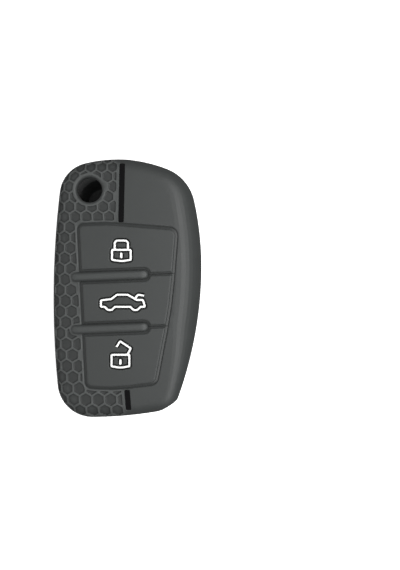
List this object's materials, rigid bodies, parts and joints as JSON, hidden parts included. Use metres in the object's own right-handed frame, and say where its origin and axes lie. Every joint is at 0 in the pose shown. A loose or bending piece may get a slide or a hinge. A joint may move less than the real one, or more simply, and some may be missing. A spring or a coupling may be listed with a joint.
{
  "type": "key fob cover",
  "caption": "Soft silicone cover for a folding car key: hollow sleeve with honeycomb grip, sprung push buttons with lock and boot symbols, release-button hole, blade slot and rear window.",
  "frame": {"origin": "middle of the cover's flat back, at the centre of its outline", "axes": "+X to the right and +Y towards the round hole as seen from the front, +Z out of the front face"},
  "size_m": [0.0436, 0.076, 0.0189],
  "materials": {
    "grey_silicone": "matt moulded",
    "white_silicone": "smooth",
    "black_silicone": "matt"
  },
  "bodies": {
    "cover": {"cover_shell": "grey_silicone", "lock_button_web": "grey_silicone", "boot_button_web": "grey_silicone", "unlock_button_web": "grey_silicone", "front_upper_stripe": "black_silicone", "front_lower_stripe": "black_silicone", "back_upper_stripe": "black_silicone", "back_lower_stripe": "black_silicone"},
    "lock_button": {"lock_button_pad": "grey_silicone", "lock_icon": "white_silicone", "lock_icon_keyhole": "white_silicone"},
    "boot_button": {"boot_button_pad": "grey_silicone", "boot_icon": "white_silicone"},
    "unlock_button": {"unlock_button_pad": "grey_silicone", "unlock_icon": "white_silicone", "unlock_icon_keyhole": "white_silicone"}
  },
  "joints": [
    {"name": "lock_press", "type": "slide", "parent": "cover", "child": "lock_button", "axis": [0, 0, -1], "range_m": [0, 0.0006], "stiffness_N_per_m": 3000, "deforming": ["lock_button_web"]},
    {"name": "boot_press", "type": "slide", "parent": "cover", "child": "boot_button", "axis": [0, 0, -1], "range_m": [0, 0.0006], "stiffness_N_per_m": 3000, "deforming": ["boot_button_web"]},
    {"name": "unlock_press", "type": "slide", "parent": "cover", "child": "unlock_button", "axis": [0, 0, -1], "range_m": [0, 0.0006], "stiffness_N_per_m": 3000, "deforming": ["unlock_button_web"]}
  ]
}
